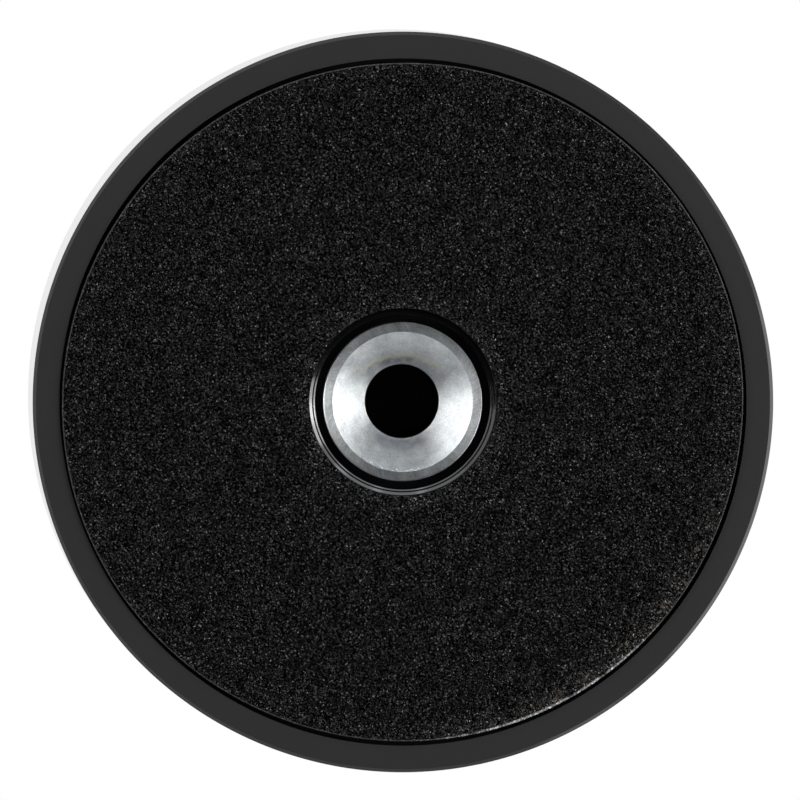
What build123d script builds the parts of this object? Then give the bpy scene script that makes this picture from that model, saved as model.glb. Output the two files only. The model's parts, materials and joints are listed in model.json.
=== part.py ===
from build123d import *
import os

# A turned record weight. Its pad lies on the record's label and its bush drops over the turntable's spindle.
# Millimetres, +Z up as it stands in use. The origin is on the spindle axis, at the pad's lower face.

# Body, turned from one bar
body_diameter = 75.3
ring_width = 2.75  # flat ring left around the pad's recess
base_chamfer = 0.35  # lower outer edge
crown_thickness = 6.0  # metal left above the bush's seat
crown_radius = 1.5  # upper outer edge

# Pad, a foam ring stuck into the body's recess
pad_thickness = 2.0
pad_stand = 0.5  # the pad stands proud of the ring, so only foam touches the record
pad_edge_gap = 0.35  # radial gap to the recess wall
pad_hole_gap = 0.05  # radial gap from the rim of the well to the pad's hole

# Bush, turned and pressed into the body
bush_diameter = 16.15  # its head
bush_setback = 2.0  # from the pad's lower face up to the bush's face, level with the recess floor
bush_face_width = 0.96  # flat between the bush's edge and its countersink
bush_lip_width = 0.1  # shallow lip turned at the edge of that flat
bush_lip_rise = 0.03
countersink_angle = 90.0
bore_diameter = 7.5  # slides over a spindle of 7.2
head_height = 4.0
spigot_diameter = 12.0
spigot_length = 15.7
spigot_chamfer = 0.5  # lead-in at the spigot's end
seat_end_gap = 0.3  # lets the head's shoulder seat before the spigot's end

# Well, the shadow gap around the bush's head, with a stepped rim
well_gap = 0.85  # radial gap to the bush
rim_chamfer = 0.28  # width of the outer chamfer, at the recess floor
rim_chamfer_rise = 0.13
rim_step = 0.14  # flat between the two chamfers
rim_edge_break = 0.15  # width of the inner chamfer, at the well's wall
rim_edge_rise = 0.07

# Radii
body_radius = body_diameter / 2
recess_radius = body_radius - ring_width
pad_radius = recess_radius - pad_edge_gap
bush_radius = bush_diameter / 2
countersink_radius = bush_radius - bush_face_width
bore_radius = bore_diameter / 2
spigot_radius = spigot_diameter / 2
well_radius = bush_radius + well_gap
rim_edge_radius = well_radius + rim_edge_break
rim_step_radius = rim_edge_radius + rim_step
rim_radius = rim_step_radius + rim_chamfer
pad_hole_radius = rim_radius + pad_hole_gap

# Heights above the record
ring_height = pad_stand
recess_height = pad_thickness
rim_step_height = recess_height + rim_chamfer_rise
rim_edge_height = rim_step_height + rim_edge_rise
shoulder_height = bush_setback + head_height
seat_height = shoulder_height + spigot_length + seat_end_gap
crown_height = seat_height + crown_thickness

os.makedirs("parts", exist_ok=True)

# Body: half of its section, revolved about the spindle axis
with BuildPart() as body:
    with BuildSketch(Plane.XZ):
        with BuildLine():
            Polyline(
                (0, crown_height),
                (body_radius, crown_height),
                (body_radius, ring_height),
                (recess_radius, ring_height),
                (recess_radius, recess_height),
                (rim_radius, recess_height),
                (rim_step_radius, rim_step_height),
                (rim_edge_radius, rim_step_height),
                (well_radius, rim_edge_height),
                (well_radius, shoulder_height),
                (spigot_radius, shoulder_height),
                (spigot_radius, seat_height),
                (0, seat_height),
                close=True,
            )
        make_face()
    revolve(axis=Axis.Z)
    fillet(body.edges().filter_by(GeomType.CIRCLE).sort_by(Axis.Z)[-1], crown_radius)
    ring_edges = body.edges().filter_by(GeomType.CIRCLE).group_by(Axis.Z)[0]
    chamfer(ring_edges.sort_by(SortBy.RADIUS)[-1], base_chamfer)
body.part.label = "body"
export_step(body.part, "parts/body.step")

# Bush: a head that fills the well but for its shadow gap, and a spigot pressed line to line into the seat
with BuildPart() as spindle_bush:
    with BuildSketch(Plane.XY.offset(bush_setback)):
        Circle(bush_radius)
    extrude(amount=head_height)
    with BuildSketch(Plane.XY.offset(shoulder_height)):
        Circle(spigot_radius)
    extrude(amount=spigot_length)
    circles = spindle_bush.edges().filter_by(GeomType.CIRCLE).sort_by(Axis.Z)
    head_face = spindle_bush.faces().sort_by(Axis.Z)[0]
    chamfer(circles[0], bush_lip_width, bush_lip_rise, reference=head_face)
    chamfer(circles[-1], spigot_chamfer)
    with Locations(Plane(origin=(0, 0, bush_setback), z_dir=(0, 0, -1))):
        CounterSinkHole(bore_radius, countersink_radius, counter_sink_angle=countersink_angle)
spindle_bush.part.label = "spindle_bush"
export_step(spindle_bush.part, "parts/spindle_bush.step")

# Pad: a flat ring, its upper face against the recess floor
with BuildPart() as pad:
    with BuildSketch():
        Circle(pad_radius)
        Circle(pad_hole_radius, mode=Mode.SUBTRACT)
    extrude(amount=pad_thickness)
pad.part.label = "pad"
export_step(pad.part, "parts/pad.step")
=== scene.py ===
"""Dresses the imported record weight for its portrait: turned body, spindle bush and foam pad, seen from below.

Lengths are in metres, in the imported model's own frame: +Z up, with the origin on the spindle axis at the
pad's lower face. Angles called clock angles run as they do in the portrait: 0 to the right, 90 down, 180 to
the left and 270 up.
"""
import json
import logging
import math
from collections.abc import Mapping, Sequence
from dataclasses import dataclass
from enum import Enum
from typing import Any

import bpy
import numpy as np
from mathutils import Matrix, Vector, noise

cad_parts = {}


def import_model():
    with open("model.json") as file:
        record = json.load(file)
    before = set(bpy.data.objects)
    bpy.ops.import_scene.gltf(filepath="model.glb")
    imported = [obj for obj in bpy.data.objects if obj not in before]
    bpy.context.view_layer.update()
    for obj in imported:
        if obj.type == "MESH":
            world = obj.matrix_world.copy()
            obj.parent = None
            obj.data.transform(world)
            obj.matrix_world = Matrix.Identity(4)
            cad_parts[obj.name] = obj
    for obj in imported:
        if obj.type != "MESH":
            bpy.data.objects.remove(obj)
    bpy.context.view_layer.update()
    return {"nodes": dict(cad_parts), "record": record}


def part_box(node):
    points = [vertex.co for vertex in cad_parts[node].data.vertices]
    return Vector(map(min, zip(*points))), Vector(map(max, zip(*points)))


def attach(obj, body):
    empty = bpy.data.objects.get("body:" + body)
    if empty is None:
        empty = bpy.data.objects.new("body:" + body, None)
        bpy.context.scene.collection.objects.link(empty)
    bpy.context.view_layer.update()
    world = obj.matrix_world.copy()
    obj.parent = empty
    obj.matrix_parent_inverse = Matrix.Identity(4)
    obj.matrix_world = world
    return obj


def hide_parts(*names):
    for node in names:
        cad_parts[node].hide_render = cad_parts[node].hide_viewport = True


LOG = logging.getLogger("record_weight")
MM = 0.001
BODY_OF_ALL = "root"
NOISE_MEAN = 0.5

Colour = tuple[float, float, float]
Span = tuple[float, float]
Socket = bpy.types.NodeSocket

WHITE: Colour = (1.0, 1.0, 1.0)
BLACK: Colour = (0.0, 0.0, 0.0)
COOL: Colour = (0.955, 0.995, 1.03)


class Node(Enum):
    """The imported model's nodes."""

    BODY = "body"
    BUSH = "spindle_bush"
    PAD = "pad"


class Slot(Enum):
    """The record's material slots."""

    BODY = "body"
    BUSH = "bush"
    PAD = "pad"


class Op(Enum):
    """The Math node operations that expressions use."""

    ADD = "ADD"
    SUBTRACT = "SUBTRACT"
    MULTIPLY = "MULTIPLY"
    DIVIDE = "DIVIDE"
    POWER = "POWER"
    MAXIMUM = "MAXIMUM"
    EXPONENT = "EXPONENT"
    COSINE = "COSINE"
    ARCTAN2 = "ARCTAN2"


class Signal:
    """A number that varies over a surface: wraps an output socket, and operators on it add Math nodes."""

    def __init__(self, graph: "Graph", socket: Socket) -> None:
        """Wraps one output socket of the graph."""
        self.graph = graph
        self.socket = socket

    def __add__(self, other: "Signal | float") -> "Signal":
        """Sum of the two."""
        return self.graph.math(Op.ADD, self, other)

    def __radd__(self, other: float) -> "Signal":
        """Sum of the two."""
        return self.graph.math(Op.ADD, other, self)

    def __sub__(self, other: "Signal | float") -> "Signal":
        """This less the other."""
        return self.graph.math(Op.SUBTRACT, self, other)

    def __rsub__(self, other: float) -> "Signal":
        """The other less this."""
        return self.graph.math(Op.SUBTRACT, other, self)

    def __mul__(self, other: "Signal | float") -> "Signal":
        """Product of the two."""
        return self.graph.math(Op.MULTIPLY, self, other)

    def __rmul__(self, other: float) -> "Signal":
        """Product of the two."""
        return self.graph.math(Op.MULTIPLY, other, self)

    def __truediv__(self, other: "Signal | float") -> "Signal":
        """This divided by the other."""
        return self.graph.math(Op.DIVIDE, self, other)

    def __rtruediv__(self, other: float) -> "Signal":
        """The other divided by this."""
        return self.graph.math(Op.DIVIDE, other, self)

    def __pow__(self, other: "Signal | float") -> "Signal":
        """This raised to the other."""
        return self.graph.math(Op.POWER, self, other)

    def at_least(self, other: "Signal | float") -> "Signal":
        """The larger of the two."""
        return self.graph.math(Op.MAXIMUM, self, other)

    def exp(self) -> "Signal":
        """The exponential of this."""
        return self.graph.math(Op.EXPONENT, self)

    def cos(self) -> "Signal":
        """Cosine of this angle in radians."""
        return self.graph.math(Op.COSINE, self)

    def ramp(self, low: float, high: float) -> "Signal":
        """Smooth step of this value.

        Args:
            low: Value at which the step is 0.
            high: Value at which the step is 1; it may be the lower of the two.

        Returns:
            The step, from 0 to 1.
        """
        settings = {"interpolation_type": "SMOOTHSTEP"}
        node = self.graph.add("ShaderNodeMapRange", settings, {0: self, 1: low, 2: high})
        return Signal(self.graph, node.outputs[0])


class Graph:
    """Adds nodes to one node tree."""

    def __init__(self, tree: bpy.types.NodeTree) -> None:
        """Starts on an emptied tree."""
        self.tree = tree
        tree.nodes.clear()

    def add(
        self,
        kind: str,
        settings: Mapping[str, object] | None = None,
        sockets: Mapping[str | int, object] | None = None,
    ) -> bpy.types.Node:
        """Adds a node.

        Args:
            kind: The node's type.
            settings: Its properties, set before the sockets are.
            sockets: Values or links of its inputs, by name or index.

        Returns:
            The node.
        """
        node = self.tree.nodes.new(kind)
        for name, value in (settings or {}).items():
            setattr(node, name, value)
        for name, value in (sockets or {}).items():
            self._plug(node.inputs[name], value)
        return node

    def _plug(self, socket: Socket, value: object) -> None:
        """Links a signal or socket to an input, or sets the input's own value.

        Args:
            socket: The input.
            value: What goes into it.
        """
        if isinstance(value, Signal):
            self.tree.links.new(value.socket, socket)
        elif isinstance(value, Socket):
            self.tree.links.new(value, socket)
        else:
            socket.default_value = value

    def math(self, op: Op, *operands: Signal | float) -> Signal:
        """The result of one Math node on signals and numbers."""
        node = self.add("ShaderNodeMath", {"operation": op.value}, dict(enumerate(operands)))
        return Signal(self, node.outputs[0])

    def place(self) -> Socket:
        """Where a point of the piece is, in the piece's own frame."""
        return self.add("ShaderNodeTexCoord").outputs["Object"]

    def scaled(self, vector: Socket, factors: Sequence[float]) -> Socket:
        """A vector with each of its parts multiplied by a number."""
        settings = {"operation": "MULTIPLY"}
        return self.add("ShaderNodeVectorMath", settings, {0: vector, 1: factors}).outputs[0]

    def parts(self, vector: Socket) -> list[Signal]:
        """The three parts of a vector."""
        node = self.add("ShaderNodeSeparateXYZ", None, {0: vector})
        return [Signal(self, part) for part in node.outputs]

    def polar(self, vector: Socket) -> tuple[Signal, Signal]:
        """Distance from the spindle axis and azimuth in radians of a place."""
        x, y, _ = self.parts(vector)
        return (x * x + y * y) ** 0.5, self.math(Op.ARCTAN2, y, x)

    def combined(self, *parts: Signal | float) -> Socket:
        """A vector of three numbers."""
        return self.add("ShaderNodeCombineXYZ", None, dict(enumerate(parts))).outputs[0]

    def grain(self, vector: Socket, size: float, detail: float, rough: float = 0.5) -> Signal:
        """Cloud noise.

        Args:
            vector: Where to sample it.
            size: Length of its largest swells, in the vector's units.
            detail: Octaves above the first.
            rough: Strength of each octave against the one before.

        Returns:
            The noise, about NOISE_MEAN on average.
        """
        sockets = {"Vector": vector, "Scale": 1.0 / size, "Detail": detail, "Roughness": rough}
        return Signal(self, self.add("ShaderNodeTexNoise", None, sockets).outputs[0])

    def speckle(self, vector: Socket, size: float) -> Signal:
        """A chance number for each small cell of a surface.

        Args:
            vector: Where to sample it.
            size: Width of a cell, in the vector's units.

        Returns:
            Numbers spread like a bell about 0, with a deviation of 1.
        """
        cells = self.add("ShaderNodeTexVoronoi", None, {"Vector": vector, "Scale": 1.0 / size})
        split = self.add("ShaderNodeSeparateColor", None, {0: cells.outputs["Color"]})
        red, green, blue = (Signal(self, part) for part in split.outputs)
        return 2.0 * (red + green + blue - 1.5)

    def mix(self, factor: Signal, first: object, second: object) -> Socket:
        """A colour between two colours."""
        sockets = {0: factor, 6: first, 7: second}
        return self.add("ShaderNodeMix", {"data_type": "RGBA"}, sockets).outputs[2]

    def tint(self, value: Signal, colour: Colour) -> Socket:
        """A colour made brighter or darker by a factor."""
        parts = [value * part for part in colour]
        return self.add("ShaderNodeCombineColor", None, dict(enumerate(parts))).outputs[0]

    def bump(self, height: Signal, depth: float) -> Socket:
        """A normal tilted by a height field, of which one unit is that depth."""
        sockets = {"Height": height, "Distance": depth, "Strength": 1.0}
        return self.add("ShaderNodeBump", None, sockets).outputs[0]

    def surface(self, sockets: Mapping[str | int, object]) -> None:
        """Ends the tree in one Principled shader with these sockets."""
        shader = self.add("ShaderNodeBsdfPrincipled", None, sockets)
        self.add("ShaderNodeOutputMaterial", None, {"Surface": shader.outputs[0]})


def opaque(colour: Colour) -> tuple[float, float, float, float]:
    """A colour as colour sockets take it."""
    return (*colour, 1.0)


def new_material(name: str) -> tuple[bpy.types.Material, Graph]:
    """Starts a material.

    Args:
        name: The material's name.

    Returns:
        The material, and the graph of its nodes.
    """
    material = bpy.data.materials.new(name)
    material.use_nodes = True
    return material, Graph(material.node_tree)


@dataclass(frozen=True)
class Sector:
    """A span of clock angles, which fades toward both ends."""

    middle: float  # in degrees
    reach: float  # to each side, in degrees
    full: float = 1.0  # cosine of the angle from the middle at which the fading starts

    def toward(self, clock: Signal) -> Signal:
        """Cosine of the angle between a clock angle in radians and the sector's middle."""
        return (clock - math.radians(self.middle)).cos()

    def share(self, clock: Signal) -> Signal:
        """How far inside the sector a clock angle in radians is, from 0 to 1."""
        return self.toward(clock).ramp(math.cos(math.radians(self.reach)), self.full)


@dataclass(frozen=True)
class DarkAnodised:
    """Black anodised turned metal: satin ring, polished edge and side, glossy rim, and painted shade darkening
    the recess, the well and its rim.
    """

    side: float  # radius of the body's side
    edge: float  # radius where the lower edge's chamfer starts
    recess: float  # radius of the pad's recess
    rim: float  # outer radius of the well's rim
    well: float  # radius of the well
    seat_end: float  # height of the closed end of the bush's seat
    base: float  # height where the lower edge's chamfer meets the side
    colour: Colour = (0.0208, 0.0208, 0.0208)
    recess_shade_share: float = 0.08  # painted shade: brightness left in the recess, the well and its rim
    specular: float = 0.4
    rim_coat: float = 0.62
    side_coat: float = 0.5
    edge_coat: float = 0.7
    coat_roughness: float = 0.12
    roughness: float = 0.3
    edge_roughness: float = 0.11
    side_roughness: float = 0.115
    rim_roughness: float = 0.13
    grain_size: float = 0.12 * MM
    grain_depth: float = 0.0015 * MM
    grain_tone: float = 0.16
    grain_polish: float = 0.06
    cloud_size: float = 4.8 * MM
    cloud_tone: float = 0.08
    mark_pitch: float = 0.4 * MM
    mark_tone: float = 1.2
    mark_polish: float = 0.1
    mark_start: float = 0.5 * MM  # height above the base over which the turning marks set in
    hollow_margin: float = 1.0 * MM  # metal above the seat over which the painted shade ends
    blend: float = 0.06 * MM

    def material(self) -> bpy.types.Material:
        """The finish as a material.

        Returns:
            The material.
        """
        material, graph = new_material("dark_anodised")
        place = graph.place()
        radius, _ = graph.polar(place)
        height = graph.parts(place)[2]
        hollow = height.ramp(self.seat_end + 2.0 * self.hollow_margin, self.seat_end + self.hollow_margin)
        recess = hollow * radius.ramp(self.recess + self.blend, self.recess)
        rim = hollow * radius.ramp(self.rim + self.blend, self.rim)
        rim = rim * radius.ramp(self.well - self.blend, self.well)
        side = radius.ramp(self.side - self.blend, self.side)
        edge = radius.ramp(self.edge - self.blend, self.edge)
        chamfer = edge * (1.0 - side) * height.ramp(self.base + self.blend, self.base)
        grain = graph.grain(place, self.grain_size, 2.0) - NOISE_MEAN
        cloud = graph.grain(place, self.cloud_size, 1.0) - NOISE_MEAN
        marks = graph.grain(graph.combined(radius, height, 0.0), self.mark_pitch, 2.0, 0.6) - NOISE_MEAN
        marks = marks * height.ramp(self.base, self.base + self.mark_start) * (1.0 - recess)
        tone = 1.0 + self.grain_tone * grain + self.cloud_tone * cloud + self.mark_tone * marks
        # painted shade: the recess, the well and its rim are darkened in colour, standing in for the shade that
        # falls in them
        tone = tone * (1.0 - (1.0 - self.recess_shade_share) * recess)
        rough = self.roughness + self.grain_polish * grain + self.mark_polish * marks
        rough = rough + (self.edge_roughness - self.roughness) * edge
        rough = rough + (self.side_roughness - self.edge_roughness) * side
        rough = rough + (self.rim_roughness - self.roughness) * rim
        graph.surface(
            {
                "Base Color": graph.tint(tone, self.colour),
                "Roughness": rough,
                "Specular IOR Level": self.specular,
                "Coat Weight": self.rim_coat * rim + self.side_coat * side + self.edge_coat * chamfer,
                "Coat Roughness": self.coat_roughness,
                "Normal": graph.bump(grain, self.grain_depth),
            }
        )
        return material


@dataclass(frozen=True)
class BrightTurned:
    """Bright turned aluminium: cloudy, with tool marks, nicks and a stain; painted shade darkens a slate patch
    beside the bore and colours the bore near black.
    """

    bore: float  # radius of the bore
    mouth: float  # radius of the countersink at the face
    cool: Colour = (0.828, 0.865, 0.888)
    warm: Colour = (0.865, 0.885, 0.883)
    hue_span: Span = (0.35, 0.65)
    brightness: float = 0.9
    cone_roughness: float = 0.385
    face_roughness: float = 0.34
    anisotropy: float = 0.62
    grooves_around: float = 0.25  # share of a turn that sets the sheen across the tool marks
    cloud_size: float = 1.1 * MM
    hue_size: float = 0.77 * MM
    patch_size: float = 0.88 * MM
    cloud_tone: float = 0.5
    cloud_polish: float = 0.14
    ring_pitch: float = 0.1 * MM
    ring_drift: float = 0.4 * MM  # how far the rings change in a radian
    ring_tone: float = 0.2
    ring_relief: float = 0.6
    mark_pitch: float = 0.16 * MM
    mark_slant: float = 0.5
    mark_length: float = 0.12  # pitch of the slanting marks against their length
    cone_mark_tone: float = 0.1
    face_mark_tone: float = 0.3
    mark_polish: float = 0.06
    mark_relief: float = 0.4
    speck_size: float = 0.09 * MM
    speck_tone: float = 0.07
    speck_relief: float = 0.5
    nick_size: float = 0.3 * MM
    nick_span: Span = (0.57, 0.65)
    nick_inset: Span = (0.6 * MM, 0.2 * MM)  # distances inside the mouth where the nicks begin and are full
    nick_relief: float = 60.0
    relief_depth: float = 0.0008 * MM
    face_blend: float = 0.05 * MM
    stain: Sector = Sector(268.0, 68.0, 0.8)
    stain_inset: float = 0.5 * MM
    stain_width: float = 0.5 * MM
    stain_flare: float = 1.3 * MM
    stain_rise: Span = (-1.0, -0.2)  # where the stain sets in and ends, in its widths from its middle
    stain_fall: Span = (1.0, 0.2)
    stain_cloud: Span = (0.3, 0.55)
    stain_patches: Span = (0.34, 0.6)
    stain_hues: Span = (0.42, 0.58)
    # slate tint of the stain, and of the painted shade beside the bore
    brown_stain: Colour = (0.5, 0.43, 0.43)
    slate_stain_and_shade: Colour = (0.52, 0.52, 0.58)
    fringe_colour: Colour = (0.86, 0.85, 0.68)
    fringe_share: float = 0.8
    fringe_rise: Span = (0.0, 0.6)
    fringe_fall: Span = (1.6, 0.8)
    lower: Sector = Sector(92.0, 55.0, 0.9)
    low_shade_rise: Span = (0.1 * MM, 0.4 * MM)  # distances from the bore where the painted shade sets in and ends
    low_shade_fall: Span = (1.7 * MM, 0.68 * MM)
    low_shade_share: float = 0.4
    low_shade_patch_share: float = 0.5
    low_shade_patches: Span = (0.35, 0.65)
    # painted shade: the bore's colour, near black, standing in for the shade inside it
    bore_shade_tone: float = 0.002
    bore_roughness: float = 0.3  # added to the cone's
    bore_blend: Span = (0.04 * MM, 0.01 * MM)

    def material(self) -> bpy.types.Material:
        """The finish as a material.

        Returns:
            The material.
        """
        material, graph = new_material("bright_turned")
        place = graph.place()
        radius, azimuth = graph.polar(place)
        clock = azimuth - math.pi
        face = radius.ramp(self.mouth, self.mouth + self.face_blend)
        lower = self.lower.share(clock)
        cloud = graph.grain(place, self.cloud_size, 3.0, 0.6)
        hue = graph.grain(graph.scaled(place, (1.0, 1.0, -1.0)), self.hue_size, 2.0)
        patches = graph.grain(graph.scaled(place, (1.0, -1.0, 1.0)), self.patch_size, 1.5)
        rings = graph.grain(graph.combined(radius, azimuth * self.ring_drift, 0.0), self.ring_pitch, 2.0)
        along = azimuth * self.mouth + self.mark_slant * radius
        marks = graph.grain(graph.combined(along, self.mark_length * radius, 0.0), self.mark_pitch, 1.0)
        specks = graph.speckle(place, self.speck_size)
        nicks = self._nicks(graph, place, radius) * (1.0 - face) * lower

        tone = self.brightness + self.cloud_tone * (cloud - NOISE_MEAN)
        tone = tone + self.ring_tone * (rings - NOISE_MEAN)
        tone = tone + (self.cone_mark_tone + self.face_mark_tone * face) * (marks - NOISE_MEAN)
        tone = tone + self.speck_tone * specks
        metal = graph.mix(hue.ramp(*self.hue_span), graph.tint(tone, self.cool), graph.tint(tone, self.warm))
        within = self.stain.share(clock) * cloud.ramp(*self.stain_cloud)
        stained = self._stained(graph, metal, self._across(radius, clock), within, hue, patches)
        # painted shade: a darker slate patch beside the bore's lower side
        low_shaded = graph.mix(self._low_shade(radius, patches) * lower, stained, opaque(self.slate_stain_and_shade))
        # painted shade: the bore is coloured near black
        shaded_bore = radius.ramp(self.bore + self.bore_blend[0], self.bore + self.bore_blend[1])

        rough = self.cone_roughness + (self.face_roughness - self.cone_roughness) * face
        rough = rough + self.cloud_polish * (cloud - NOISE_MEAN) + self.mark_polish * (marks - NOISE_MEAN)
        relief = self.ring_relief * rings + (self.mark_relief + face) * marks
        relief = relief + self.speck_relief * specks + self.nick_relief * nicks
        graph.surface(
            {
                "Base Color": graph.mix(shaded_bore, low_shaded, opaque((self.bore_shade_tone,) * 3)),
                "Metallic": 1.0,
                "Roughness": rough + self.bore_roughness * shaded_bore,
                "Anisotropic": self.anisotropy,
                "Anisotropic Rotation": self.grooves_around,
                "Normal": graph.bump(relief, self.relief_depth),
            }
        )
        return material

    def _nicks(self, graph: Graph, place: Socket, radius: Signal) -> Signal:
        """Small nicks in the cone, close to its mouth.

        Args:
            graph: The finish's nodes.
            place: Where a point of the bush is.
            radius: Its distance from the axis.

        Returns:
            How far a point is inside a nick, from 0 to 1.
        """
        begin, full = self.nick_inset
        nicks = graph.grain(place, self.nick_size, 1.0).ramp(*self.nick_span)
        return nicks * radius.ramp(self.mouth - begin, self.mouth - full)

    def _across(self, radius: Signal, clock: Signal) -> Signal:
        """Distance in widths from the middle of the stain, which flares away from the bore."""
        flare = self.stain_flare * (1.0 - self.stain.toward(clock))
        return (radius - self.bore - self.stain_inset - flare) / self.stain_width

    def _stained(
        self, graph: Graph, metal: Socket, across: Signal, within: Signal, hue: Signal, patches: Signal
    ) -> Socket:
        """Lays the stain and its pale fringe over the metal.

        Args:
            graph: The finish's nodes.
            metal: The metal's colour.
            across: Distance from the middle of the stain, in its widths.
            within: How far a point is inside the stain's sector.
            hue: Noise that chooses between the stain's two tints.
            patches: Noise that breaks the stain up.

        Returns:
            The stained colour.
        """
        fringe = within * across.ramp(*self.fringe_rise) * across.ramp(*self.fringe_fall)
        fringed = graph.mix(self.fringe_share * fringe, metal, opaque(self.fringe_colour))
        stain = within * across.ramp(*self.stain_rise) * across.ramp(*self.stain_fall)
        tints = graph.mix(hue.ramp(*self.stain_hues), opaque(self.brown_stain), opaque(self.slate_stain_and_shade))
        return graph.mix(stain * patches.ramp(*self.stain_patches), fringed, tints)

    def _low_shade(self, radius: Signal, patches: Signal) -> Signal:
        """The strength of the painted shade around the bore.

        Args:
            radius: Distance from the axis.
            patches: Noise that breaks the painted shade up.

        Returns:
            The strength, from 0 to 1.
        """
        inside = radius - self.bore
        reach = inside.ramp(*self.low_shade_rise) * inside.ramp(*self.low_shade_fall)
        return reach * (self.low_shade_share + self.low_shade_patch_share * patches.ramp(*self.low_shade_patches))


@dataclass(frozen=True)
class Wave:
    """One swell of the pad's cut outline: swells in a turn, height, and the clock angle of a crest."""

    count: int
    height: float
    crest: float


@dataclass(frozen=True)
class BlackFoam:
    """Black fine-celled foam: chance-bright cells, a pale cut edge, and dust and crumbs along one side."""

    radius: float  # of the pad
    hole: float  # radius of its hole
    waves: tuple[Wave, ...]
    tone: float = 0.0041
    pore: float = 0.0008  # what is taken off, so that the deepest cells are black
    cell: float = 0.125 * MM
    contrast: float = 1.3
    cloud_size: float = 1.6 * MM
    cloud_contrast: float = 1.6
    hole_wear: float = 2.4 * MM
    edge_wear: float = 4.0 * MM
    edge_wear_share: float = 0.4
    wear_contrast: float = 0.5
    dust: Sector = Sector(50.0, 42.0)
    dust_reach: float = 3.2 * MM
    dust_colour: Colour = (1.0, 0.87, 0.74)
    dust_cloud: Span = (0.45, 0.6)
    haze_contrast: float = 0.5
    dust_contrast: float = 0.35
    crumbs: Sector = Sector(63.0, 26.0)
    crumb_size: float = 0.1875 * MM
    crumb_contrast: float = 0.6
    crumb_tone: float = 0.17
    crumb_colour: Colour = (0.98, 0.99, 1.0)
    crumb_cloud: Span = (0.3, 0.55)
    edge_tone: float = 0.047
    edge_crumb_share: float = 0.4
    edge_width: float = 0.15 * MM
    edge_full: float = 0.06 * MM
    roughness: float = 0.95
    specular: float = 0.01
    relief_share: float = 0.2
    relief_depth: float = 0.03 * MM

    def material(self) -> bpy.types.Material:
        """The finish as a material.

        Returns:
            The material.
        """
        material, graph = new_material("black_foam")
        place = graph.place()
        radius, azimuth = graph.polar(place)
        clock = azimuth - math.pi
        inset = self._inset(radius, clock)
        cells = graph.speckle(place, self.cell)
        cloud = graph.grain(place, self.cloud_size, 3.0, 0.6)
        worn = radius.ramp(self.hole + self.hole_wear, self.hole)
        worn = worn + self.edge_wear_share * inset.ramp(self.edge_wear, 0.0)
        haze = self.dust.share(clock) * inset.ramp(self.dust_reach, 0.0)
        dust = haze * cloud.ramp(*self.dust_cloud)
        light = self.contrast * cells + self.cloud_contrast * (cloud - NOISE_MEAN) + self.wear_contrast * worn
        light = (light + self.haze_contrast * haze + self.dust_contrast * dust).exp()
        tone = (self.tone * light - self.pore).at_least(0.0)
        foam = graph.mix(dust, graph.tint(tone, WHITE), graph.tint(tone, self.dust_colour))
        crumbs = (self.crumb_contrast * graph.speckle(place, self.crumb_size)).exp()
        crumbled = self.crumbs.share(clock) * cloud.ramp(*self.crumb_cloud)
        edge = (inset / (1.0 + crumbled)).ramp(self.edge_width, self.edge_full)
        pale = self.edge_tone * (1.0 - self.edge_crumb_share + self.edge_crumb_share * crumbs)
        pale = pale + self.crumb_tone * crumbled * crumbs
        graph.surface(
            {
                "Base Color": graph.mix(edge, foam, graph.tint(pale, self.crumb_colour)),
                "Roughness": self.roughness,
                "Specular IOR Level": self.specular,
                "Normal": graph.bump(self.relief_share * cells, self.relief_depth),
            }
        )
        return material

    def _inset(self, radius: Signal, clock: Signal) -> Signal:
        """Distance in from the pad's wavering outline.

        Args:
            radius: Distance from the axis.
            clock: Clock angle, in radians.

        Returns:
            The distance.
        """
        inset = self.radius - radius
        for wave in self.waves:
            inset = inset + wave.height * (wave.count * (clock - math.radians(wave.crest))).cos()
        return inset


@dataclass(frozen=True)
class Corner:
    """One corner of a turned section: distance from the axis, height, and the radius its edge is eased to."""

    radius: float
    height: float
    ease: float = 0.03 * MM


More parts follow.
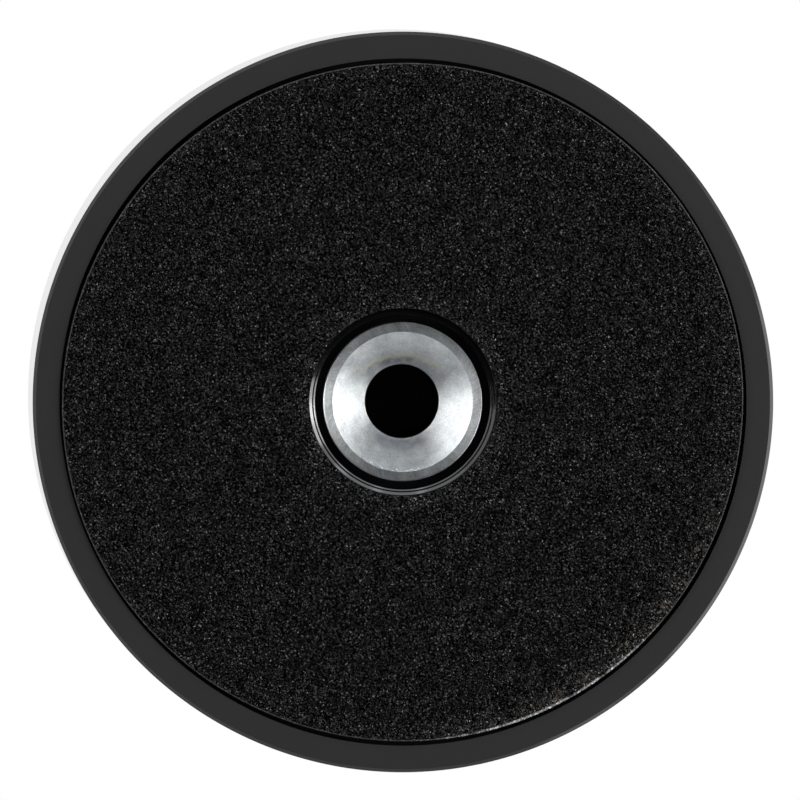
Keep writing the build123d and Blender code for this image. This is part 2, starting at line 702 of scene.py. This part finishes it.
class Lathe:
    """Turns a section about the spindle axis into a mesh that has the section's exact normals."""

    arc_step: float = math.radians(15.0)

    def __init__(self, corners: Sequence[Corner], closed: bool, segments: int) -> None:
        """Takes a section.

        Args:
            corners: Its corners in order, with the material on the right hand side of the way along it.
            closed: Whether the last corner leads back to the first.
            segments: Faces in a turn.
        """
        self.corners = corners
        self.closed = closed
        self.segments = segments

    @staticmethod
    def _left(way: np.ndarray) -> np.ndarray:
        """The direction a quarter turn to the left of another."""
        return np.array((-way[1], way[0]))

    def _way(self, start: int, end: int) -> np.ndarray:
        """The direction from one corner to another.

        Args:
            start: The first corner's place in the list.
            end: The other corner's place.

        Returns:
            A vector of length 1.
        """
        a, b = self.corners[start], self.corners[end]
        step = np.array((b.radius - a.radius, b.height - a.height))
        return step / np.linalg.norm(step)

    def _eased(self) -> tuple[np.ndarray, np.ndarray]:
        """The section with each corner rounded.

        Returns:
            Its points, and its outward normals there.
        """
        points: list[np.ndarray] = []
        normals: list[np.ndarray] = []
        count = len(self.corners)
        for index, corner in enumerate(self.corners):
            here = np.array((corner.radius, corner.height))
            before = self._way(index - 1, index) if self.closed or index else None
            after = self._way(index, (index + 1) % count) if self.closed or index < count - 1 else None
            if before is None or after is None:
                points.append(here)
                normals.append(self._left(after if before is None else before))
                continue
            turn = math.atan2(before[0] * after[1] - before[1] * after[0], float(before @ after))
            side = math.copysign(1.0, turn)
            reach = corner.ease * math.tan(abs(turn) / 2)
            centre = here - before * reach + side * corner.ease * self._left(before)
            steps = max(1, math.ceil(abs(turn) / self.arc_step))
            for step in range(steps + 1):
                angle = turn * step / steps
                normal = self._left(math.cos(angle) * before + math.sin(angle) * self._left(before))
                points.append(centre - side * corner.ease * normal)
                normals.append(normal)
        return np.array(points), np.array(normals)

    def mesh(self, name: str) -> bpy.types.Mesh:
        """The turned mesh.

        Args:
            name: The mesh's name.

        Returns:
            A closed mesh of quads, with triangles at the axis.
        """
        section, section_normals = self._eased()
        azimuth = np.arange(self.segments) * (2 * math.pi / self.segments)
        rows: list[np.ndarray] = []
        points: list[np.ndarray] = []
        normals: list[np.ndarray] = []
        start = 0
        for (radius, height), (out, up) in zip(section, section_normals):
            angles = azimuth if radius > 0 else azimuth[:1]
            across = np.stack((np.cos(angles), np.sin(angles)), 1)
            points.append(np.column_stack((radius * across, np.full(len(angles), height))))
            tilt = out if radius > 0 else 0.0
            normals.append(np.column_stack((tilt * across, np.full(len(angles), up))))
            rows.append(start + np.arange(self.segments) % len(angles))
            start += len(angles)
        faces: list[tuple[int, ...]] = []
        pairs = list(zip(rows, rows[1:]))
        if self.closed:
            pairs.append((rows[-1], rows[0]))
        for row, following in pairs:
            for a, b, c, d in zip(row, np.roll(row, -1), np.roll(following, -1), following):
                faces.append(tuple(int(v) for v in dict.fromkeys((d, c, b, a))))
        mesh = bpy.data.meshes.new(name)
        mesh.from_pydata(np.concatenate(points).tolist(), [], faces)
        mesh.polygons.foreach_set("use_smooth", [True] * len(faces))
        mesh.normals_split_custom_set_from_vertices(np.concatenate(normals).tolist())
        mesh.update()
        return mesh


def add_object(name: str, data: bpy.types.ID) -> bpy.types.Object:
    """Puts a mesh, a lamp or a camera in the scene.

    Args:
        name: The object's name.
        data: What it shows.

    Returns:
        The object.
    """
    thing = bpy.data.objects.new(name, data)
    bpy.context.scene.collection.objects.link(thing)
    return thing


def add_piece(
    mesh: bpy.types.Mesh, node: Node, material: bpy.types.Material
) -> bpy.types.Object:
    """Makes a piece of a mesh.

    Args:
        mesh: The piece's mesh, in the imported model's frame.
        node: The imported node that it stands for.
        material: Its finish.

    Returns:
        The piece, riding on the weight's only body.
    """
    piece = add_object(mesh.name, mesh)
    mesh.materials.append(material)
    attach(piece, BODY_OF_ALL)
    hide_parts(node.value)
    return piece


@dataclass
class SpindleBush:
    """The bright bush: a head with a countersunk mouth, and a spigot in the body's seat."""

    radius: float
    face: float
    end: float
    bore: float
    mouth: float
    mouth_depth: float
    shoulder: float = 6.0 * MM
    spigot: float = 6.0 * MM
    spigot_chamfer: float = 0.5 * MM
    lip_width: float = 0.1 * MM
    lip_rise: float = 0.03 * MM
    lip_ease: float = 0.01 * MM
    segments: int = 256

    @classmethod
    def from_frame(cls, record: Mapping[str, Any]) -> "SpindleBush":
        """Reads the bush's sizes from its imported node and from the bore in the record.

        Args:
            record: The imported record.

        Returns:
            The bush.
        """
        low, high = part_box(Node.BUSH.value)
        mount = next(m for m in record["mounts"] if m["name"] == "spindle_bore")
        bore = mount["dims"]["r_mm"] * MM
        depth = high.z - low.z - mount["dims"]["length_mm"] * MM
        return cls(high.x, low.z, high.z, bore, bore + depth, depth)

    def section(self) -> list[Corner]:
        """The bush's section.

        Returns:
            Its corners, from the bore's upper end round to the bore's lower end.
        """
        return [
            Corner(self.bore, self.end),
            Corner(self.spigot - self.spigot_chamfer, self.end),
            Corner(self.spigot, self.end - self.spigot_chamfer),
            Corner(self.spigot, self.shoulder),
            Corner(self.radius, self.shoulder),
            Corner(self.radius, self.face + self.lip_rise, self.lip_ease),
            Corner(self.radius - self.lip_width, self.face),
            Corner(self.mouth, self.face),
            Corner(self.bore, self.face + self.mouth_depth),
        ]

    def build(self) -> bpy.types.Object:
        """Turns the bush and dresses it."""
        mesh = Lathe(self.section(), True, self.segments).mesh("turned_bush")
        return add_piece(mesh, Node.BUSH, BrightTurned(self.bore, self.mouth).material())


@dataclass
class TurnedBody:
    """The dark body: ring, recess for the pad, well with a stepped rim, and the seat of the bush."""

    radius: float
    ring: float
    crown: float
    recess_floor: float
    bush: SpindleBush
    base_chamfer: float = 0.35 * MM
    crown_round: float = 1.5 * MM
    ring_width: float = 2.75 * MM
    well_gap: float = 0.85 * MM
    rim_edge_break: float = 0.15 * MM
    rim_edge_rise: float = 0.07 * MM
    rim_step: float = 0.14 * MM
    rim_chamfer: float = 0.28 * MM
    rim_chamfer_rise: float = 0.13 * MM
    seat_gap: float = 0.3 * MM
    segments: int = 360

    @classmethod
    def from_frame(cls, bush: SpindleBush) -> "TurnedBody":
        """Reads the body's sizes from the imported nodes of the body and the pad."""
        low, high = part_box(Node.BODY.value)
        return cls(high.x, low.z, high.z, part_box(Node.PAD.value)[1].z, bush)

    @property
    def edge(self) -> float:
        """Radius where the lower edge's chamfer starts."""
        return self.radius - self.base_chamfer

    @property
    def base(self) -> float:
        """Height where the lower edge's chamfer meets the side."""
        return self.ring + self.base_chamfer

    @property
    def recess(self) -> float:
        """Radius of the pad's recess."""
        return self.radius - self.ring_width

    @property
    def well(self) -> float:
        """Radius of the well around the bush."""
        return self.bush.radius + self.well_gap

    @property
    def rim(self) -> float:
        """Outer radius of the well's rim."""
        return self.well + self.rim_edge_break + self.rim_step + self.rim_chamfer

    @property
    def seat_end(self) -> float:
        """Height of the closed end of the bush's seat."""
        return self.bush.end + self.seat_gap

    def section(self) -> list[Corner]:
        """The body's section.

        Returns:
            Its corners, from the middle of the crown round to the end of the seat.
        """
        rim_edge = self.well + self.rim_edge_break
        step_height = self.recess_floor + self.rim_chamfer_rise
        return [
            Corner(0.0, self.crown),
            Corner(self.radius, self.crown, self.crown_round),
            Corner(self.radius, self.base),
            Corner(self.edge, self.ring),
            Corner(self.recess, self.ring),
            Corner(self.recess, self.recess_floor),
            Corner(self.rim, self.recess_floor),
            Corner(rim_edge + self.rim_step, step_height),
            Corner(rim_edge, step_height),
            Corner(self.well, step_height + self.rim_edge_rise),
            Corner(self.well, self.bush.shoulder),
            Corner(self.bush.spigot, self.bush.shoulder),
            Corner(self.bush.spigot, self.seat_end),
            Corner(0.0, self.seat_end),
        ]

    def build(self) -> bpy.types.Object:
        """Turns the body and dresses it.

        Returns:
            The piece.
        """
        mesh = Lathe(self.section(), False, self.segments).mesh("turned_body")
        finish = DarkAnodised(
            side=self.radius,
            edge=self.edge,
            recess=self.recess,
            rim=self.rim,
            well=self.well,
            seat_end=self.seat_end,
            base=self.base,
        )
        return add_piece(mesh, Node.BODY, finish.material())


@dataclass
class FoamPad:
    """The foam ring: a grainy lower face, cut edges that waver, and a flat upper face."""

    radius: float
    hole: float
    thickness: float
    pitch: float = 0.21 * MM
    wall_shares: tuple[float, ...] = (1.0, 0.75, 0.5, 0.3)  # heights of the cut edge's rows, in thicknesses
    edge_round: float = 0.12 * MM
    round_angles: tuple[float, ...] = (0.0, 30.0, 60.0, 90.0)
    relief: float = 0.05 * MM
    relief_cell: float = 0.55 * MM
    fill: float = 0.9
    waves: tuple[Wave, ...] = (
        Wave(2, 0.11 * MM, 155.0),
        Wave(3, 0.05 * MM, 60.0),
        Wave(4, 0.04 * MM, 65.0),
    )

    @classmethod
    def from_frame(cls, nodes: Mapping[str, bpy.types.Object]) -> "FoamPad":
        """Reads the pad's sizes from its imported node.

        Args:
            nodes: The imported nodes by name.

        Returns:
            The pad.
        """
        low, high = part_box(Node.PAD.value)
        points = nodes[Node.PAD.value].data.vertices
        hole = min(math.hypot(v.co.x, v.co.y) for v in points)
        return cls(high.x, hole, high.z - low.z)

    def build(self) -> bpy.types.Object:
        """Cuts the pad and dresses it.

        Returns:
            The piece.
        """
        mesh = bpy.data.meshes.new("foam_pad")
        points, faces = self._rows()
        mesh.from_pydata(points.tolist(), [], faces.tolist())
        mesh.polygons.foreach_set("use_smooth", [True] * len(faces))
        mesh.update()
        finish = BlackFoam(self.radius, self.hole, self.waves)
        piece = add_piece(mesh, Node.PAD, finish.material())
        return piece

    def _section(self) -> list[tuple[float, float]]:
        """The pad's section.

        Returns:
            Distance from the axis and height of each row of points, from the outer edge's top to the hole's.
        """
        angles = [math.radians(a) for a in self.round_angles]
        wall = [(0.0, self.thickness * share) for share in self.wall_shares]
        wall += [(self.edge_round * (1 - math.cos(a)), self.edge_round * (1 - math.sin(a))) for a in angles]
        outer = [(self.radius - inset, height) for inset, height in wall]
        inner = [(self.hole + inset, height) for inset, height in wall]
        start, stop = outer[-1][0], inner[-1][0]
        count = round((start - stop) / self.pitch)
        face = [(start + (stop - start) * k / count, 0.0) for k in range(1, count)]
        return outer + face + inner[::-1]

    def _rows(self) -> tuple[np.ndarray, np.ndarray]:
        """The pad's mesh, row by row.

        Returns:
            Its points, and its triangles.
        """
        rows: list[np.ndarray] = []
        points: list[np.ndarray] = []
        start = 0
        for radius, height in self._section():
            count = round(2 * math.pi * radius / self.pitch)
            azimuth = np.arange(count) * (2 * math.pi / count)
            reach = radius + self._waver(azimuth) * (radius - self.hole) / (self.radius - self.hole)
            x, y = reach * np.cos(azimuth), reach * np.sin(azimuth)
            points.append(np.column_stack((x, y, height + self._relief(x, y, height))))
            rows.append(start + np.arange(count))
            start += count
        pairs = [*zip(rows, rows[1:]), (rows[-1], rows[0])]
        return np.concatenate(points), np.concatenate([self._stitch(a, b) for a, b in pairs])

    def _waver(self, azimuth: np.ndarray) -> np.ndarray:
        """How far the cut outline strays from a circle."""
        clock = azimuth - math.pi
        return sum(w.height * np.cos(w.count * (clock - math.radians(w.crest))) for w in self.waves)

    def _relief(self, x: np.ndarray, y: np.ndarray, height: float) -> np.ndarray:
        """How far the foam's grain stands back from the pad's lower face.

        Args:
            x: First coordinates of a row of points.
            y: Their second coordinates.
            height: The row's height.

        Returns:
            The depths.
        """
        share = max(0.0, 1 - height / self.edge_round)
        scale = 1 / self.relief_cell
        swell = [noise.noise(Vector((a * scale, b * scale, 0.0))) for a, b in zip(x, y)]
        return share * self.relief * (0.5 + 0.5 * np.array(swell))

    @staticmethod
    def _stitch(row: np.ndarray, following: np.ndarray) -> np.ndarray:
        """Joins two rows of points that may differ in number.

        Args:
            row: The points of the first row.
            following: The points of the next.

        Returns:
            The triangles between them.
        """
        row_steps = (np.arange(len(row)) + 0.5) / len(row)
        following_steps = (np.arange(len(following)) + 0.5) / len(following)
        across = np.searchsorted(following_steps, row_steps, "left") % len(following)
        back = np.searchsorted(row_steps, following_steps, "right") % len(row)
        first = np.stack((following[across], np.roll(row, -1), row), 1)
        second = np.stack((following, np.roll(following, -1), row[back]), 1)
        return np.concatenate((first, second))


@dataclass(frozen=True)
class Softbox:
    """A soft oval lamp: its place and its size as seen from the weight, in degrees, and its strength."""

    name: str
    clock: float
    lean: float  # from straight below
    width: float
    height: float
    strength: float  # at 1 it lights a facing surface with 1 W per square metre
    colour: Colour = WHITE
    distance: float = 0.6

    def build(self) -> bpy.types.Object:
        """Hangs the lamp, aimed at the origin.

        Returns:
            The lamp.
        """
        lamp = bpy.data.lights.new(self.name, "AREA")
        lamp.shape = "ELLIPSE"
        lamp.size = 2 * self.distance * math.tan(math.radians(self.width / 2))
        lamp.size_y = 2 * self.distance * math.tan(math.radians(self.height / 2))
        lamp.energy = self.strength * math.pi * self.distance**2
        lamp.color = self.colour
        box = add_object(self.name, lamp)
        clock, lean = math.radians(self.clock), math.radians(self.lean)
        out, down = math.sin(lean), math.cos(lean)
        away = Vector((-math.cos(clock) * out, -math.sin(clock) * out, -down))
        box.location = away * self.distance
        box.rotation_mode = "QUATERNION"
        box.rotation_quaternion = (-away).to_track_quat("-Z", "Y")
        return box


@dataclass
class Floor:
    """A pale floor that is seen only from above; the bush doesn't mirror it, and the lower edge sees it black
    near the weight, a painted shadow.
    """

    body_radius: float
    pad_hole: float
    radius: float = 0.6
    tone: float = 0.9
    drop: float = 0.05 * MM
    corners: int = 96
    hole_margin: float = 1.0 * MM  # how far outside the pad's hole the floor is open to mirrored rays
    reflected_shadow_span: Span = (1.3, 1.05)  # where it turns dark to mirrored rays, a painted shadow, in radii of the body
    fade_span: Span = (0.18, 0.57)

    def build(self) -> bpy.types.Object:
        """Lays the floor.

        Returns:
            The floor.
        """
        mesh = bpy.data.meshes.new("floor")
        angles = [2 * math.pi * k / self.corners for k in range(self.corners)]
        points = [(self.radius * math.cos(a), self.radius * math.sin(a), -self.drop) for a in angles]
        mesh.from_pydata(points, [], [tuple(range(self.corners))])
        floor = add_object("floor", mesh)
        floor.visible_shadow = False
        floor.visible_diffuse = False
        mesh.materials.append(self._material())
        return floor

    def _material(self) -> bpy.types.Material:
        """The floor's paint, and where it is clear.

        Returns:
            The material.
        """
        material, graph = new_material("pale_floor")
        radius, _ = graph.polar(graph.place())
        below = Signal(graph, graph.add("ShaderNodeNewGeometry").outputs["Backfacing"])
        mirrored = Signal(graph, graph.add("ShaderNodeLightPath").outputs["Is Glossy Ray"])
        covered = radius.ramp(self.pad_hole + 2.0 * self.hole_margin, self.pad_hole + self.hole_margin)
        gone = below.at_least(mirrored * covered).at_least(radius.ramp(*self.fade_span))
        near, nearer = (share * self.body_radius for share in self.reflected_shadow_span)
        paint = graph.add("ShaderNodeBsdfDiffuse", None, {"Color": opaque((self.tone,) * 3)}).outputs[0]
        shade = graph.add("ShaderNodeBsdfDiffuse", None, {"Color": opaque(BLACK)}).outputs[0]
        # painted shadow: near the weight the floor shows black to mirrored rays, standing in for the weight's
        # contact shadow
        dark = mirrored * radius.ramp(near, nearer)
        lit = graph.add("ShaderNodeMixShader", None, {0: dark, 1: paint, 2: shade}).outputs[0]
        clear = graph.add("ShaderNodeBsdfTransparent").outputs[0]
        shader = graph.add("ShaderNodeMixShader", None, {0: gone, 1: lit, 2: clear}).outputs[0]
        graph.add("ShaderNodeOutputMaterial", None, {"Surface": shader})
        return material


@dataclass
class Surroundings:
    """A white backdrop to the eye, bright above the weight and dim below it to everything else."""

    above: float = 0.72
    band: float = 0.86
    below: float = 0.038
    above_rise: Span = (0.1, 0.4)  # heights on a sphere of radius 1
    band_rise: Span = (-0.44, -0.3)
    band_fall: Span = (-0.1, -0.22)
    below_rise: Span = (-0.78, -0.92)

    def build(self) -> None:
        """Makes the scene's world."""
        world = bpy.data.worlds.new("studio")
        bpy.context.scene.world = world
        world.use_nodes = True
        graph = Graph(world.node_tree)
        path = graph.add("ShaderNodeLightPath").outputs
        eye = Signal(graph, path["Is Camera Ray"])
        mirrored = Signal(graph, path["Is Glossy Ray"]).at_least(Signal(graph, path["Is Transmission Ray"]))
        height = graph.parts(graph.add("ShaderNodeTexCoord").outputs["Generated"])[2]
        over = height.ramp(*self.above_rise)
        ring = height.ramp(*self.band_rise) * height.ramp(*self.band_fall)
        under = self.below * height.ramp(*self.below_rise) + self.band * ring
        level = under * (1.0 - over) + over * mirrored.at_least(self.above)
        white = graph.tint(level.at_least(eye), WHITE)
        light = graph.mix(over.at_least(eye), graph.tint(level, COOL), white)
        background = graph.add("ShaderNodeBackground", None, {"Color": light, "Strength": 1.0})
        graph.add("ShaderNodeOutputWorld", None, {"Surface": background.outputs[0]})


@dataclass
class Portrait:
    """The camera: a long lens below the weight, a little left and above, framed as the photograph is."""

    body_radius: float
    lens_mm: float = 1450.0
    sensor_mm: float = 36.0
    photo_side_px: float = 800.0
    body_px: float = 741.15
    centre_px: tuple[float, float] = (403.3, 402.2)
    tilt_left: float = 1.7
    tilt_up: float = 1.15

    def build(self) -> bpy.types.Object:
        """Sets up the camera and makes it the scene's.

        Returns:
            The camera.
        """
        metres_per_px = 2 * self.body_radius / self.body_px
        middle = self.photo_side_px / 2
        aim = Vector((*((centre - middle) * metres_per_px for centre in self.centre_px), 0.0))
        distance = self.photo_side_px * metres_per_px * self.lens_mm / self.sensor_mm
        left, up = math.radians(self.tilt_left), math.radians(self.tilt_up)
        back = Vector((math.sin(left), math.sin(up), -math.cos(left) * math.cos(up))).normalized()
        right = (-back).cross(Vector((0.0, 1.0, 0.0))).normalized()
        upward = right.cross(-back)
        data = bpy.data.cameras.new("portrait")
        data.lens = self.lens_mm
        data.sensor_width = self.sensor_mm
        data.clip_end = 2 * distance
        camera = add_object("portrait", data)
        turn = Matrix((right, upward, back)).transposed().to_4x4()
        camera.matrix_world = Matrix.Translation(aim + back * distance) @ turn
        bpy.context.scene.camera = camera
        return camera


@dataclass
class Studio:
    """Everything around the weight."""

    floor: Floor
    surroundings: Surroundings
    portrait: Portrait
    lamps: tuple[Softbox, ...] = (
        Softbox("right_key", 355.0, 51.0, 32.0, 20.0, 0.9),
        Softbox("right_face", 355.0, 47.0, 14.0, 8.0, 0.46),
        Softbox("right_near", 357.0, 42.0, 20.0, 10.0, 0.62),
        Softbox("right_mid", 2.0, 61.0, 50.0, 10.0, 0.56),
        Softbox("right_low", 353.0, 71.0, 60.0, 24.0, 0.56),
        Softbox("right_glint", 23.0, 33.0, 14.0, 10.0, 0.19),
        Softbox("right_edge", 14.0, 106.0, 66.0, 50.0, 1.05),
        Softbox("right_side", 15.0, 106.0, 110.0, 50.0, 1.0),
        Softbox("right_upper", 328.0, 48.0, 26.0, 20.0, 0.24),
        Softbox("upper_right", 303.0, 47.0, 25.0, 20.0, 0.28, COOL),
        Softbox("upper", 275.0, 47.0, 25.0, 20.0, 0.27, COOL),
        Softbox("upper_left", 246.0, 47.0, 25.0, 20.0, 0.24, COOL),
        Softbox("left_key", 206.0, 49.0, 38.0, 20.0, 0.28),
        Softbox("left_mid", 200.0, 61.0, 60.0, 10.0, 1.02),
        Softbox("left_low", 199.0, 71.0, 72.0, 24.0, 0.88),
        Softbox("left_glint", 178.0, 33.0, 16.0, 10.0, 0.42),
        Softbox("lower_right", 52.0, 72.0, 26.0, 24.0, 0.17),
        Softbox("lower", 86.0, 72.0, 26.0, 24.0, 0.14),
        Softbox("lower_left", 118.0, 72.0, 26.0, 24.0, 0.12),
        Softbox("lower_side", 100.0, 106.0, 100.0, 50.0, 0.5),
        Softbox("overhead", 60.0, 145.0, 30.0, 30.0, 1.1),
    )

    def build(self) -> None:
        """Sets up the lamps, the floor, the surroundings and the camera."""
        bpy.context.scene.view_settings.view_transform = "Standard"
        for lamp in self.lamps:
            lamp.build()
        self.floor.build()
        self.surroundings.build()
        self.portrait.build()


def main() -> None:
    logging.basicConfig(level=logging.INFO, format="%(message)s")
    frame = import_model()
    bush = SpindleBush.from_frame(frame["record"])
    body = TurnedBody.from_frame(bush)
    pad = FoamPad.from_frame(frame["nodes"])
    for part in (bush, body, pad):
        piece = part.build()
        LOG.info("%s: %d faces", piece.name, len(piece.data.polygons))
    Studio(Floor(body.radius, pad.hole), Surroundings(), Portrait(body.radius)).build()


if __name__ == "__main__":
    main()
